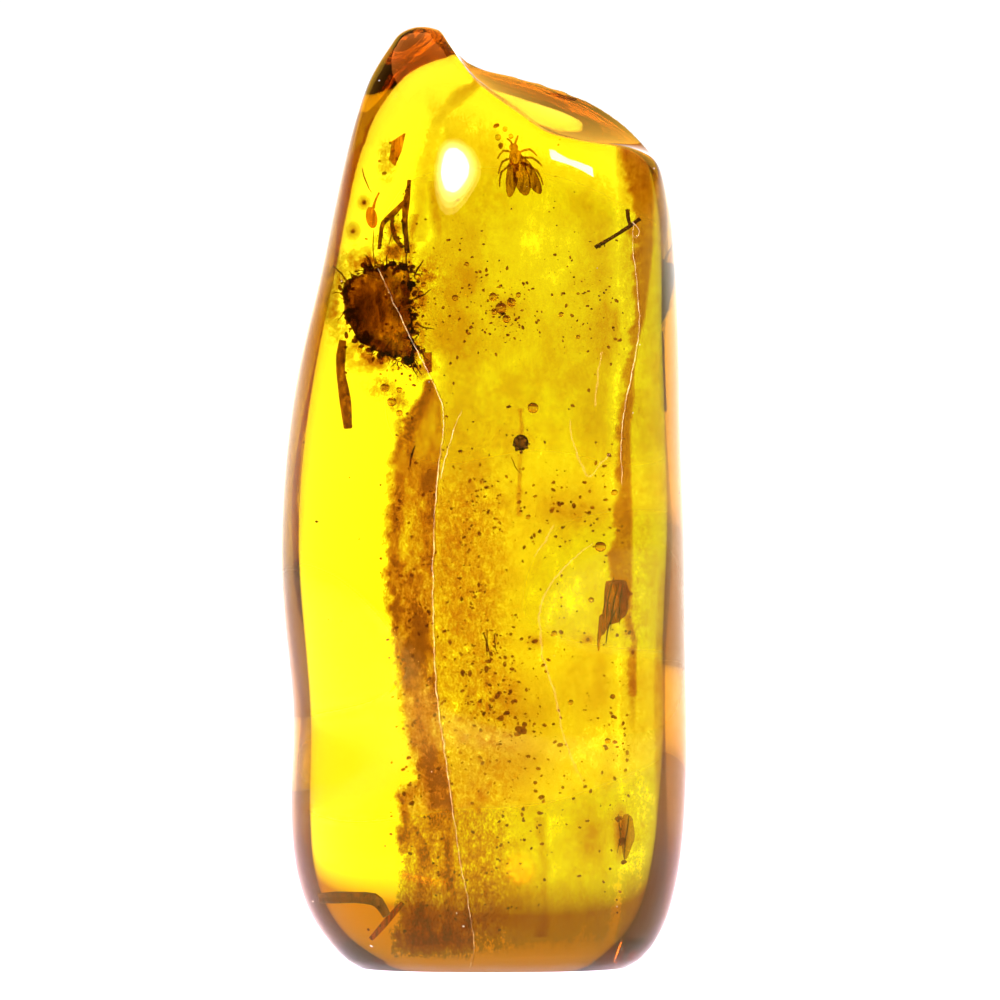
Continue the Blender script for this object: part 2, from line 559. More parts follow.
# Hairs and fibres in the seam: the two ends, and how far the middle sags to the side.
HAIRS = (
    (0.10, 15.25, 0.28, 13.95, 0.05), (-0.02, 15.1, 0.1, 14.1, -0.06), (0.45, 15.1, 0.5, 14.3, 0.05),
    (-3.35, 33.4, -3.05, 32.3, 0.10), (-3.1, 32.3, -3.05, 30.7, 0.12), (-4.5, 32.9, -4.4, 31.0, 0.10),
    (-3.6, 32.9, -3.9, 32.0, 0.08), (-5.7, 30.6, -6.3, 31.3, 0.05), (-5.6, 30.0, -6.35, 30.0, 0.08),
    (-5.5, 29.3, -6.1, 28.8, 0.06), (-4.6, 31.2, -4.9, 31.8, 0.05), (-4.0, 31.2, -3.9, 31.9, -0.05),
    (-2.9, 30.9, -2.5, 31.6, 0.05), (-2.9, 29.8, -2.2, 30.3, 0.06), (-2.85, 28.8, -2.1, 28.5, 0.08),
    (-2.9, 27.9, -2.3, 27.1, 0.05), (-3.1, 27.4, -2.8, 26.4, 0.08), (-3.9, 28.0, -4.3, 27.1, 0.05),
    (5.3, 17.6, 5.0, 15.6, 0.10), (5.5, 17.4, 5.2, 15.2, 0.08), (5.65, 17.4, 5.55, 15.5, 0.05),
    (5.1, 17.2, 4.9, 15.9, 0.05), (5.4, 16.2, 5.05, 14.5, 0.10), 
    (5.9, 7.0, 5.75, 5.0, 0.06), (5.5, 7.1, 5.45, 5.4, -0.05),
    (1.2, 22.9, 1.6, 22.1, 0.05), (-2.9, 23.4, -3.1, 22.4, 0.08),
    (-5.0, 35.6, -4.6, 34.5, 0.04),
)


def inside_band(near, far, x, z, blur_near, blur_far):
    """1 between two lines and 0 outside them, with soft edges."""
    left, right = path_at(near, z), path_at(far, z)
    if left is None or right is None:
        return 0.0
    left += ragged(x, z, 1.6, 0.26)
    entered = smooth_step(left - blur_near, left + blur_near, x)
    return entered * (1 - smooth_step(right - blur_far, right + blur_far, x))


def bump(x, z, cloud):
    """1 in the middle of a soft round cloud, falling to 0."""
    across, height, wide, tall = cloud[:4]
    return math.exp(-((x - across) / wide) ** 2 - ((z - height) / tall) ** 2)


def band_stain(x, z):
    """The broad brown band left of the seam line, thinner in its gaps."""
    band = 0.80 * inside_band(BAND_EDGE, SEAM_LINE, x, z, 0.20, 0.05)
    band *= max(0.95 + ragged(x, z * 0.3, 1.3, 0.8, 9.0), 0.62)
    for gap in BAND_GAPS:
        band *= 1 - 0.55 * bump(x, z, gap)
    return band


def cloud_border(x, z):
    """Where across the cloudy middle begins, and how softly."""
    line = path_at(SEAM_LINE, z)
    if line is not None and z <= BAND_TOP:
        return line, 0.06
    return (path_at(CLOUD_EDGE, z) or -1.5) + ragged(x, z, 0.5, 0.7, 3.0), 0.45


def cloud_stain(x, z, line, blur):
    """The cloudy middle between the seam line and the right band, under the facet."""
    top = 39.4 - 0.45 * (x + 2.5)
    cloud = smooth_step(line - blur, line + blur, x) * (1 - smooth_step(4.9, 6.0, x))
    cloud *= 1 - smooth_step(top - 2.5, top, z)
    level = 0.15 + 0.12 * smooth_step(3.0, -1.0, x)
    for soft in CLOUDS:
        level += 0.9 * soft[4] * bump(x, z, soft)
    return level * cloud * (0.35 + 0.65 * smooth_step(1.6, 3.4, z))


def streak_stain(x, z):
    """The darkest of the streaks of flow."""
    darkest = 0.0
    for width, strength, path in STREAKS:
        middle = path_at(path, z)
        if middle is not None:
            away = abs(x - middle - ragged(x, z, 0.8, 0.1)) / width
            darkest = max(darkest, strength * math.exp(-away * away))
    return darkest


def rot_stain(x, z):
    """The fuzzy rot round the bark."""
    rot = max(soft[4] * bump(x, z, soft) for soft in ROT)
    return rot * (1.0 + ragged(x, z, 1.8, 1.6, 7.0)) - 0.04


def side_stain(x, z):
    """The thin veil beside the right band, and the rim beside it lower down."""
    rim = smooth_step(6.75, 7.15, x) * smooth_step(19.5, 16.5, z)
    veil = (0.19 + 0.04 * smooth_step(19.0, 23.0, z)) * smooth_step(5.3, 5.9, x)
    return max(0.42 * rim, veil * smooth_step(37.5, 35.0, z))


def seam_stain(x, z):
    """How brown the seam is at a place, from clear at 0 to dark at 1."""
    line, blur = cloud_border(x, z)
    right_band = 0.74 * inside_band(RIGHT_BAND_NEAR, RIGHT_BAND_FAR, x, z, 0.20, 0.10)
    stain = max(band_stain(x, z), right_band, cloud_stain(x, z, line, blur),
                streak_stain(x, z), rot_stain(x, z), side_stain(x, z))
    stain *= smooth_step(FILM_HEIGHTS[0], 2.0, z)
    if x < line or x > 5.0:
        for soft in CLOUDS:
            stain = max(stain, 1.4 * soft[4] * bump(x, z, soft) - 0.03)
    return stain


def grit_at(x, z):
    """How grainy the stain is: most left of the middle and round the rotten bark."""
    low = smooth_step(1.8, 0.2, x) * smooth_step(24.0, 20.0, z)
    rot = max(bump(x, z, soft) for soft in ROT)
    right = 0.25 * smooth_step(5.3, 5.8, x) * smooth_step(6.9, 6.3, x)
    return 0.22 + 0.78 * max(low, right, min(1.4 * rot, 1.0))


def make_seam_film(name, settings):
    """A fine sheet along the seam with its stain as an attribute, where it is stained."""
    spacing = settings.spacing
    left, low = FILM_SPAN[0], FILM_HEIGHTS[0]
    across = int((FILM_SPAN[1] - left) / spacing)
    tall = int((FILM_HEIGHTS[1] - low) / spacing)
    bm = bmesh.new()
    layer = bm.verts.layers.float.new("stain")
    grit = bm.verts.layers.float.new("grit")
    rows = []
    for row in range(tall + 1):
        z = low + row * spacing
        line = []
        for column in range(across + 1):
            x = left + column * spacing
            vert = bm.verts.new((x, seam_depth(x, z) - settings.ahead, z))
            vert[layer] = seam_stain(x, z) if inside_stone(*vert.co, 0.3) else 0.0
            vert[grit] = grit_at(x, z)
            line.append(vert)
        rows.append(line)
    for lower, upper in zip(rows, rows[1:]):
        for corner in zip(lower, lower[1:], upper[1:], upper):
            stained = max(vert[layer] for vert in corner) > 0.01
            if stained and all(inside_stone(*vert.co, 0.15) for vert in corner):
                bm.faces.new(corner)
    loose = [vert for vert in bm.verts if not vert.link_faces]
    bmesh.ops.delete(bm, geom=loose, context="VERTS")
    bmesh.ops.scale(bm, vec=(MM, MM, MM), verts=bm.verts)
    mesh = bpy.data.meshes.new(name)
    bm.to_mesh(mesh)
    bm.free()
    mesh.shade_smooth()
    return new_object(name, mesh)


# Colour of the film by how brown it is.
FILM_STOPS = (
    (0.0, (1.0, 1.0, 1.0)),
    (0.10, (0.34, 0.42, 0.22)),
    (0.27, (0.25, 0.22, 0.10)),
    (0.45, (0.175, 0.090, 0.030)),
    (0.65, (0.125, 0.036, 0.008)),
    (0.85, (0.075, 0.012, 0.002)),
    (1.0, (0.030, 0.004, 0.001)),
)


# Unevenness of the stain: scale per millimetre, detail, stretch, strength.
FILM_NOISES = (
    (0.40, 3.0, (1.0, 1.0, 0.7), 0.60),
    (1.0, 4.0, (1.0, 1.0, 0.7), 0.40),
    (4.0, 5.0, (1.2, 1.0, 0.7), 1.00),
    (11.0, 3.0, (1.1, 1.0, 0.8), 0.90),
)


class AMBER_OT_seam(bpy.types.Operator):
    """Make the stained seam between the two flows of resin"""
    bl_idname = "amber.seam"
    bl_label = "Seam"

    def execute(self, context):
        settings = context.scene.amber_seam
        film = make_seam_film("seam_film", settings)
        film.data.materials.append(film_material("seam_stain", FILM_STOPS, FILM_NOISES))
        settle(film)
        return {"FINISHED"}


class AmberStoneSettings(bpy.types.PropertyGroup):
    """The clear stone."""
    index: bpy.props.FloatProperty(
        name="Index", description="Refractive index of the resin", default=1.54, min=1.0, max=2.0)
    colour: bpy.props.FloatVectorProperty(
        name="Colour", description="What the resin lets through", subtype="COLOR",
        size=3, default=(0.961, 0.90, 0.03), min=0.0, max=1.0)
    density: bpy.props.FloatProperty(
        name="Density", description="How strongly the resin absorbs, per metre",
        default=620.0, min=0.0)
    faces: bpy.props.IntVectorProperty(
        name="Faces", description="Faces of the stone across, deep and tall",
        size=3, default=(80, 46, 170), min=4)


class AmberSeamSettings(bpy.types.PropertyGroup):
    """The stained seam."""
    spacing: bpy.props.FloatProperty(
        name="Spacing", description="Size of a face of the seam in millimetres", default=0.08, min=0.05)
    ahead: bpy.props.FloatProperty(
        name="Ahead", description="How far in front of the parting it lies, in millimetres",
        default=0.25, min=0.0, max=1.0)


class AmberStageSettings(bpy.types.PropertyGroup):
    """The floor and the light."""
    strength: bpy.props.FloatProperty(
        name="Studio", description="Strength of the light all round", default=2.2, min=0.0)
    floor: bpy.props.FloatProperty(
        name="Floor", description="Half the width of the floor", default=0.45, min=0.1,
        unit="LENGTH")


class AmberGrainSettings(bpy.types.PropertyGroup):
    """The bubbles, specks, crumbs and dust."""
    seed: bpy.props.IntProperty(name="Seed", description="Seed of the scatter", default=11, min=0)
    dust: bpy.props.IntProperty(
        name="Dust", description="Number of grains of dust", default=2200, min=8, max=4000)


class AmberCrackSettings(bpy.types.PropertyGroup):
    """The cracks and lines."""
    seed: bpy.props.IntProperty(name="Seed", description="Seed of the unevenness", default=5, min=0)
    width: bpy.props.FloatProperty(
        name="Width", description="Width of a crack in millimetres", default=0.04, min=0.01, max=1.0)


class AmberFibreSettings(bpy.types.PropertyGroup):
    """The hairs and fibres."""
    seed: bpy.props.IntProperty(name="Seed", description="Seed of the fibres", default=3, min=0)
    radius: bpy.props.FloatProperty(
        name="Radius", description="Radius of a hair in millimetres", default=0.028, min=0.005, max=0.5)
    fringe: bpy.props.IntProperty(
        name="Fringe", description="Number of fibres round the bark", default=160, min=0, max=400)


class AMBER_OT_stone(bpy.types.Operator):
    """Make the clear stone in place of its two halves"""
    bl_idname = "amber.stone"
    bl_label = "Stone"

    def execute(self, context):
        settings = context.scene.amber_stone
        stone = new_object("amber", stone_mesh(settings.faces))
        stone.data.materials.append(amber_material(settings))
        stone.data.shade_smooth()
        settle(stone)
        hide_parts("amber_front", "amber_back")
        return {"FINISHED"}


def bark_material(name, dark, light, scale, stretch):
    """Weathered wood or bark, with lengthwise fibres."""
    material, shader = new_material(name)
    tree = material.node_tree
    grain = noise_node(tree, scale, 6.0, stretch, 0.4)
    colour = ramp_node(tree, grain, ((0.32, dark), (0.62, light)))
    tree.links.new(colour, shader.inputs["Base Color"])
    shader.inputs["Roughness"].default_value = 0.75
    shader.inputs["Specular IOR Level"].default_value = 0.1
    relief = tree.nodes.new("ShaderNodeBump")
    relief.inputs["Strength"].default_value = 0.6
    relief.inputs["Distance"].default_value = 0.05 * MM
    tree.links.new(grain, relief.inputs["Height"])
    tree.links.new(relief.outputs["Normal"], shader.inputs["Normal"])
    return material


def stained_material(name):
    """A translucent brown body: it colours the light that passes through."""
    stops, scale, stretch, detail = STAINS[name]
    material, shader = new_material(name)
    tree = material.node_tree
    colour = ramp_node(tree, noise_node(tree, scale, detail, stretch, 0.5), stops)
    tree.links.new(colour, shader.inputs["Base Color"])
    shader.inputs["Roughness"].default_value = 0.0
    shader.inputs["IOR"].default_value = 1.02
    shader.inputs["Specular IOR Level"].default_value = 0.0
    shader.inputs["Transmission Weight"].default_value = 1.0
    return material


def away_from(tree, place, reach):
    """How far a point is from a place in millimetres, as a share of the reach."""
    coordinate = tree.nodes.new("ShaderNodeTexCoord")
    distance = tree.nodes.new("ShaderNodeVectorMath")
    distance.operation = "DISTANCE"
    tree.links.new(coordinate.outputs["Object"], distance.inputs[0])
    distance.inputs[1].default_value = Vector(place) * MM
    return math_node(tree, "DIVIDE", distance.outputs["Value"], reach * MM)


# Translucent browns: colours by the grain, scale per millimetre, stretch, detail.
STAINS = {
    "rotten_bark": (
        ((0.12, (0.03, 0.006, 0.001)), (0.32, (0.10, 0.028, 0.003)), (0.50, (0.24, 0.085, 0.008)),
         (0.68, (0.42, 0.20, 0.02)), (0.88, (0.60, 0.38, 0.05))),
        2.6, (1.6, 1.0, 0.45), 7.0),
    "sprig_bark": (
        ((0.30, (0.03, 0.006, 0.001)), (0.48, (0.13, 0.04, 0.004)), (0.68, (0.42, 0.20, 0.02))),
        4.0, (1.0, 1.0, 0.7), 6.0),
    "brown_wood": (
        ((0.34, (0.13, 0.025, 0.002)), (0.48, (0.40, 0.13, 0.010)), (0.64, (0.68, 0.36, 0.04))),
        4.0, (2.2, 1.0, 0.2), 5.0),
    "chitin": (
        ((0.34, (0.10, 0.03, 0.003)), (0.45, (0.36, 0.16, 0.020)), (0.60, (0.58, 0.34, 0.06))),
        3.5, (2.6, 1.0, 0.5), 5.0),
    "crumb": (
        ((0.32, (0.10, 0.025, 0.003)), (0.48, (0.32, 0.13, 0.015)), (0.66, (0.62, 0.38, 0.07))),
        4.0, (1.0, 1.0, 1.0), 5.0),
    "rot_crumb": (
        ((0.32, (0.03, 0.006, 0.001)), (0.50, (0.14, 0.04, 0.004)), (0.70, (0.40, 0.19, 0.02))),
        4.0, (1.0, 1.0, 1.0), 5.0),
    "fibre": (
        ((0.35, (0.03, 0.006, 0.001)), (0.65, (0.25, 0.08, 0.01))),
        3.0, (1.0, 1.0, 1.0), 5.0),
}
BARK_CORE = (-4.9, -1.5, 29.0)
BARK_REACH = 2.2


def rotten_bark():
    """Dark in its core and fibrous and amber brown towards its rim."""
    material = stained_material("rotten_bark")
    tree = material.node_tree
    ramp = next(node for node in tree.nodes if node.bl_idname == "ShaderNodeValToRGB")
    grain = ramp.inputs["Fac"].links[0].from_socket
    core = math_node(tree, "MULTIPLY", away_from(tree, BARK_CORE, BARK_REACH), 0.55)
    streaks = centred(tree, noise_node(tree, 0.8, 4.0, (1.5, 1.0, 0.6)), 1.2)
    value = math_node(tree, "ADD", centred(tree, grain, 1.1), math_node(tree, "ADD", core, streaks))
    tree.links.new(value, ramp.inputs["Fac"])
    return material


def dress_sealed_pieces():
    """Give each sealed piece its bark, wood or chitin."""
    bark = bark_material("bark", (0.006, 0.002, 0.0), (0.080, 0.022, 0.002), 6.0, (1.0, 1.0, 0.3))
    for material, names in (
            (bark, ("crossed_twig", "bent_twig", "frass_pellet")),
            (stained_material("sprig_bark"), ("hanging_twig", "forked_sprig")),
            (rotten_bark(), ("bark_clump", "bark_chip")),
            (stained_material("brown_wood"),
             ("wood_splinter", "bark_wedge", "bud_scale", "seed_pod", "bark_sliver")),
            (stained_material("chitin"), ("insect",))):
        for name in names:
            piece = bpy.data.objects[name]
            piece.data.materials.clear()
            piece.data.materials.append(material)
            piece.data.shade_smooth()


class AMBER_OT_sealed(bpy.types.Operator):
    """Give the sealed insect, bark and twigs their materials"""
    bl_idname = "amber.sealed"
    bl_label = "Sealed pieces"

    def execute(self, context):
        dress_sealed_pieces()
        return {"FINISHED"}


def seam_place(x, z, ahead=0.3):
    return Vector((x, seam_depth(x, z) - ahead, z))


def front_finder(stone):
    """A function that gives the place on the polished front of the stone."""
    vertices = [vert.co / MM for vert in stone.data.vertices]
    tree = BVHTree.FromPolygons(vertices, [face.vertices for face in stone.data.polygons])

    def front_place(x, z, lift=0.012):
        hit = tree.ray_cast(Vector((x, -20.0, z)), Vector((0.0, 1.0, 0.0)))[0]
        return hit - Vector((0.0, lift, 0.0)) if hit else None
    return front_place


def add_socket(group, name, kind, way="INPUT"):
    return group.interface.new_socket(name, in_out=way, socket_type="NodeSocket" + kind)


def lump_shape(group, given):
    """Nodes for one small ball, dented by noise."""
    nodes, links = group.nodes, group.links
    ball = nodes.new("GeometryNodeMeshIcoSphere")
    ball.inputs["Radius"].default_value = MM
    links.new(given.outputs["Roundness"], ball.inputs["Subdivisions"])
    relief = nodes.new("ShaderNodeTexNoise")
    relief.inputs["Scale"].default_value = 1.1 / MM
    dent = nodes.new("ShaderNodeVectorMath")
    dent.operation = "SCALE"
    normal = nodes.new("GeometryNodeInputNormal")
    links.new(normal.outputs[0], dent.inputs[0])
    amount = math_node(group, "MULTIPLY", math_node(group, "SUBTRACT", relief.outputs[0], 0.5),
                       given.outputs["Lumpiness"])
    links.new(math_node(group, "MULTIPLY", amount, MM), dent.inputs["Scale"])
    lump = nodes.new("GeometryNodeSetPosition")
    links.new(ball.outputs["Mesh"], lump.inputs["Geometry"])
    links.new(dent.outputs[0], lump.inputs["Offset"])
    return lump.outputs[0]


def random_turn(group, given):
    """Nodes for a random turn of each lump."""
    turn = group.nodes.new("FunctionNodeRandomValue")
    turn.data_type = "FLOAT_VECTOR"
    turn.inputs[1].default_value = (math.tau, math.tau, math.tau)
    group.links.new(given.outputs["Seed"], turn.inputs["Seed"])
    return turn.outputs[0]


def lump_scale(group, given):
    """Nodes for the size of each lump, slimmer across than along."""
    nodes, links = group.nodes, group.links
    slim = nodes.new("ShaderNodeCombineXYZ")
    slim.inputs[2].default_value = 1.0
    for axis in (0, 1):
        links.new(given.outputs["Slimness"], slim.inputs[axis])
    size = nodes.new("GeometryNodeInputNamedAttribute")
    size.data_type = "FLOAT"
    size.inputs["Name"].default_value = "size"
    scale = nodes.new("ShaderNodeVectorMath")
    scale.operation = "SCALE"
    links.new(slim.outputs[0], scale.inputs[0])
    links.new(size.outputs[0], scale.inputs["Scale"])
    return scale.outputs[0]


def scatter_group(name):
    """Geometry Nodes that set a turned, uneven lump on every point of a mesh."""
    group = bpy.data.node_groups.new(name, "GeometryNodeTree")
    add_socket(group, "Points", "Geometry")
    sockets = {key: add_socket(group, key, kind) for key, kind in (
        ("Seed", "Int"), ("Roundness", "Int"), ("Lumpiness", "Float"),
        ("Slimness", "Float"), ("Material", "Material"))}
    add_socket(group, "Lumps", "Geometry", "OUTPUT")
    nodes, links = group.nodes, group.links
    given, result = nodes.new("NodeGroupInput"), nodes.new("NodeGroupOutput")
    place = nodes.new("GeometryNodeInstanceOnPoints")
    links.new(given.outputs["Points"], place.inputs["Points"])
    links.new(lump_shape(group, given), place.inputs["Instance"])
    links.new(random_turn(group, given), place.inputs["Rotation"])
    links.new(lump_scale(group, given), place.inputs["Scale"])
    real = nodes.new("GeometryNodeRealizeInstances")
    smooth = nodes.new("GeometryNodeSetShadeSmooth")
    paint = nodes.new("GeometryNodeSetMaterial")
    links.new(place.outputs[0], real.inputs[0])
    links.new(real.outputs[0], smooth.inputs[0])
    links.new(smooth.outputs[0], paint.inputs["Geometry"])
    links.new(given.outputs["Material"], paint.inputs["Material"])
    links.new(paint.outputs[0], result.inputs[0])
    return group, {key: socket.identifier for key, socket in sockets.items()}


def scatter(name, spots, material, seed, roundness=2, lumpiness=0.9, slimness=0.7):
    """A joined mesh of lumps at (place, radius) spots, in millimetres."""
    mesh = bpy.data.meshes.new(name + "_points")
    mesh.from_pydata([place * MM for place, radius in spots], [], [])
    sizes = mesh.attributes.new("size", "FLOAT", "POINT")
    sizes.data.foreach_set("value", [radius for place, radius in spots])
    lumps = new_object(name, mesh)
    group, keys = scatter_group(name + "_scatter")
    modifier = lumps.modifiers.new("scatter", "NODES")
    modifier.node_group = group
    for key, value in (("Seed", seed), ("Roundness", roundness), ("Lumpiness", lumpiness),
                       ("Slimness", slimness), ("Material", material)):
        modifier[keys[key]] = value
    graph = bpy.context.evaluated_depsgraph_get()
    graph.update()
    real = bpy.data.meshes.new_from_object(lumps.evaluated_get(graph))
    lumps.modifiers.clear()
    lumps.data = real
    if not real.polygons:
        raise RuntimeError(name + " came out empty")
    if not real.materials:
        real.materials.append(material)
    settle(lumps)
    return lumps


def dust_spots(seed, count, least, most):
    """Random spots in the seam, thickest where the dust lies."""
    picker = random.Random(seed)
    shares = [row[4] for row in DUST]
    spots = []
    while len(spots) < count:
        x, z, wide, tall, share = picker.choices(DUST, shares)[0]
        x, z = picker.gauss(x, wide), picker.gauss(z, tall)
        depth = picker.uniform(0.2, 0.6)
        radius = least + (most - least) * picker.random() ** 3
        if DUST_HEIGHTS[0] < z < DUST_HEIGHTS[1] and abs(x) < DUST_REACH:
            spots.append((seam_place(x, z, depth), radius))
    return spots


def spots_along(lines, seed, per_mm, stray, least, most):
    """Random spots strewn along lines in the seam."""
    picker = random.Random(seed)
    spots = []
    for line in lines:
        for start, end in zip(line, line[1:]):
            for index in range(int(math.dist(start, end) * per_mm)):
                share = picker.random()
                x = start[0] + (end[0] - start[0]) * share + picker.gauss(0.0, stray)
                z = start[1] + (end[1] - start[1]) * share + picker.gauss(0.0, stray)
                radius = least + (most - least) * picker.random() ** 2
                spots.append((seam_place(x, z, picker.uniform(0.15, 0.6)), radius))
    return spots


def listed_spots(rows, growth=1.0):
    return [(seam_place(x, z), size / 100 * growth) for x, z, size in rows]


def bubble_air():
    """Air in the resin, which bends light the other way."""
    material, shader = new_material("bubble_air")
    shader.inputs["Base Color"].default_value = (0.80, 0.62, 0.20, 1.0)
    shader.inputs["Roughness"].default_value = 0.0
    shader.inputs["IOR"].default_value = 0.84
    shader.inputs["Transmission Weight"].default_value = 1.0
    return material


def speck_material():
    return bark_material("speck", (0.012, 0.004, 0.001), (0.10, 0.035, 0.006), 9.0, (1, 1, 1))


def make_bubbles_and_specks(seed):
    """What lies at listed places: bubbles, black specks and brown crumbs."""
    scatter("bubbles", listed_spots(BUBBLES), bubble_air(), seed, 3, 0.12, 0.92)
    scatter("specks", listed_spots(SPECKS, 0.72), speck_material(), seed + 1)
    crumb = stained_material("crumb")
    scatter("crumbs", listed_spots(DEBRIS, 1.15), crumb, seed + 2, 2, 1.1, 0.6)


def make_dust(seed, count):
    """Fine brown dust, and a few black grains of it."""
    brown = dust_spots(seed + 3, count, 0.02, 0.13)
    scatter("dust", brown, bpy.data.materials["crumb"], seed + 3, 1, 0.9, 0.6)
    black = dust_spots(seed + 4, count // 22, 0.015, 0.045)
    scatter("black_dust", black, bpy.data.materials["speck"], seed + 4, 1, 0.9, 0.6)


class AMBER_OT_grains(bpy.types.Operator):
    """Make the bubbles, the specks, the crumbs and the dust"""
    bl_idname = "amber.grains"
    bl_label = "Grains and bubbles"

    def execute(self, context):
        settings = context.scene.amber_grains
        seed = settings.seed
        make_bubbles_and_specks(seed)
        rot = stained_material("rot_crumb")
        edge = spots_along((BARK_OUTLINE,), seed + 5, 22, 0.14, 0.04, 0.22)
        scatter("bark_crumbs", edge, rot, seed + 5, 2, 1.1, 0.55)
        twigs = spots_along(TWIG_LINES, seed + 6, 16, 0.05, 0.02, 0.09)
        scatter("twig_scales", twigs, rot, seed + 6, 1, 1.0, 0.5)
        make_dust(seed, settings.dust)
        return {"FINISHED"}


def smooth_path(points, step=0.12, wander=0.0):
    """Finely spaced (x, z) points on a smooth curve through the given ones."""
    fine = []
    last = len(points) - 1
    for index in range(last):
        rows = [points[min(max(index + shift, 0), last)] for shift in (-1, 0, 1, 2)]
        count = max(int(math.dist(rows[1], rows[2]) / step), 1)
        for part in range(count):
            x, z = [spline(*column, part / count) for column in zip(*rows)]
            fine.append((x + ragged(x, z, 2.0, wander, 5.0), z))
    return fine + [points[-1]]


def ribbon(bm, places, widths):
    """A narrow strip that faces the front, through a row of places."""
    rails = []
    for index, (place, width) in enumerate(zip(places, widths)):
        along = places[min(index + 1, len(places) - 1)] - places[max(index - 1, 0)]
        side = Vector((along.z, 0.0, -along.x)).normalized() * width / 2
        rails.append((bm.verts.new(place - side), bm.verts.new(place + side)))
    for (a, b), (c, d) in zip(rails, rails[1:]):
        bm.faces.new((a, b, d, c))


def line_widths(count, width, picker):
    """Widths along a line: thin at its ends and uneven between them."""
    return [width * (0.35 + 0.65 * math.sin(math.pi * (index + 0.5) / count) ** 0.4)
            * picker.uniform(0.55, 1.35) for index in range(count)]


def lines_object(name, lines, place_at, width, wander, material, seed):
    picker = random.Random(seed)
    bm = bmesh.new()
    for points in lines:
        places = [place_at(x, z) for x, z in smooth_path(points, wander=wander)]
        places = [place for place in places if place]
        if len(places) > 2:
            ribbon(bm, places, line_widths(len(places), width, picker))
    bmesh.ops.scale(bm, vec=(MM, MM, MM), verts=bm.verts)
    bm.normal_update()
    bmesh.ops.reverse_faces(bm, faces=[face for face in bm.faces if face.normal.y > 0])
    mesh = bpy.data.meshes.new(name)
    bm.to_mesh(mesh)
    bm.free()
    mesh.materials.append(material)
    obj = new_object(name, mesh)
    settle(obj)
    return obj


def glint_material():
    """The pale broken glint of a healed crack in the polish."""
    material, shader = new_material("crack_glint")
    tree = material.node_tree
    breaks = noise_node(tree, 1.6, 6.0, (1.0, 1.0, 1.0))
    shown = ramp_node(tree, breaks, ((0.38, (0.12, 0.12, 0.12)), (0.62, (0.60, 0.60, 0.60))))
    shader.inputs["Base Color"].default_value = (0.80, 0.56, 0.20, 1.0)
    shader.inputs["Roughness"].default_value = 0.55
    shader.inputs["Specular IOR Level"].default_value = 0.15
    tree.links.new(shown, shader.inputs["Alpha"])
    return material


def line_material(name, colour, roughness, specular, alpha):
    """One even colour, partly see-through."""
    material, shader = new_material(name)
    shader.inputs["Base Color"].default_value = (*colour, 1.0)
    shader.inputs["Roughness"].default_value = roughness
    shader.inputs["Specular IOR Level"].default_value = specular
    shader.inputs["Alpha"].default_value = alpha
    return material


def make_cracks(front_place, width, seed):
    """The healed cracks, each with a dark shade beside it."""
    cracks = (SEAM_CRACK, SECOND_CRACK, RIGHT_CRACK, LOOP_CRACK)
    lines_object("healed_cracks", cracks, front_place, width, 0.05, glint_material(), seed)
    dark = line_material("crack_shade", (0.10, 0.02, 0.002), 0.5, 0.0, 0.40)
    shades = [tuple((x + SHADE_SHIFT, z) for x, z in line) for line in (SEAM_CRACK, RIGHT_CRACK)]
    lines_object("crack_shades", shades, lambda x, z: front_place(x, z, 0.008), width, 0.05,
                 dark, seed + 1)


def make_gold_lines(front_place, seed):
    """Faint golden lines under the polish."""
    gold = line_material("gold_line", (0.62, 0.34, 0.07), 0.7, 0.1, 0.20)
    lines_object("gold_lines", GOLD_LINES, front_place, 0.09, 0.08, gold, seed)


def make_scratches(front_place, seed):
    """Short pale nicks in the polish."""
    pale = line_material("scratch_dust", (0.95, 0.90, 0.75), 0.6, 0.5, 1.0)
    spots = [(front_place(x, z, 0.0), size / 100) for x, z, size in SURFACE_SCRATCHES]
    spots = [(place, radius) for place, radius in spots if place]
    scatter("scratches", spots, pale, seed, 1, 0.8, 0.35)


class AMBER_OT_cracks(bpy.types.Operator):
    """Make the healed cracks, the golden lines and the scratches of the polish"""
    bl_idname = "amber.cracks"
    bl_label = "Cracks"

    def execute(self, context):
        settings = context.scene.amber_cracks
        front_place = front_finder(bpy.data.objects["amber"])
        make_cracks(front_place, settings.width, settings.seed)
        make_gold_lines(front_place, settings.seed + 2)
        make_scratches(front_place, settings.seed + 3)
        return {"FINISHED"}


FIBRE_TURNS = (1.57, 1.57, -1.57, 0.0, 3.14)    # mostly upwards


def strand(bm, start, end, sag, radius, sides=6, rings=10):
    """A tapered bent hair between two (x, z) places in the seam."""
    (x0, z0), (x1, z1) = start, end
    along = Vector((x1 - x0, z1 - z0)).normalized()
    loops = []
    for ring in range(rings + 1):
        t = ring / rings
        bow = sag * math.sin(math.pi * t) + ragged(x0 + t, z0, 1.4, 0.05)
        x = x0 + (x1 - x0) * t + along.y * bow
        z = z0 + (z1 - z0) * t - along.x * bow
        middle = seam_place(x, z, 0.34)
        thick = radius * (0.25 + 0.75 * math.sin(math.pi * (0.15 + 0.8 * t)))
        across = Vector((along.y, 0.0, -along.x))
        deep = Vector((0.0, 1.0, 0.0))
        loops.append([bm.verts.new(middle + thick * (across * math.cos(math.tau * side / sides)
                                                     + deep * math.sin(math.tau * side / sides)))
                      for side in range(sides)])
    for lower, upper in zip(loops, loops[1:]):
        for side in range(sides):
            after = (side + 1) % sides
            bm.faces.new((lower[side], lower[after], upper[after], upper[side]))
    bm.faces.new(loops[0])
    bm.faces.new(loops[-1])


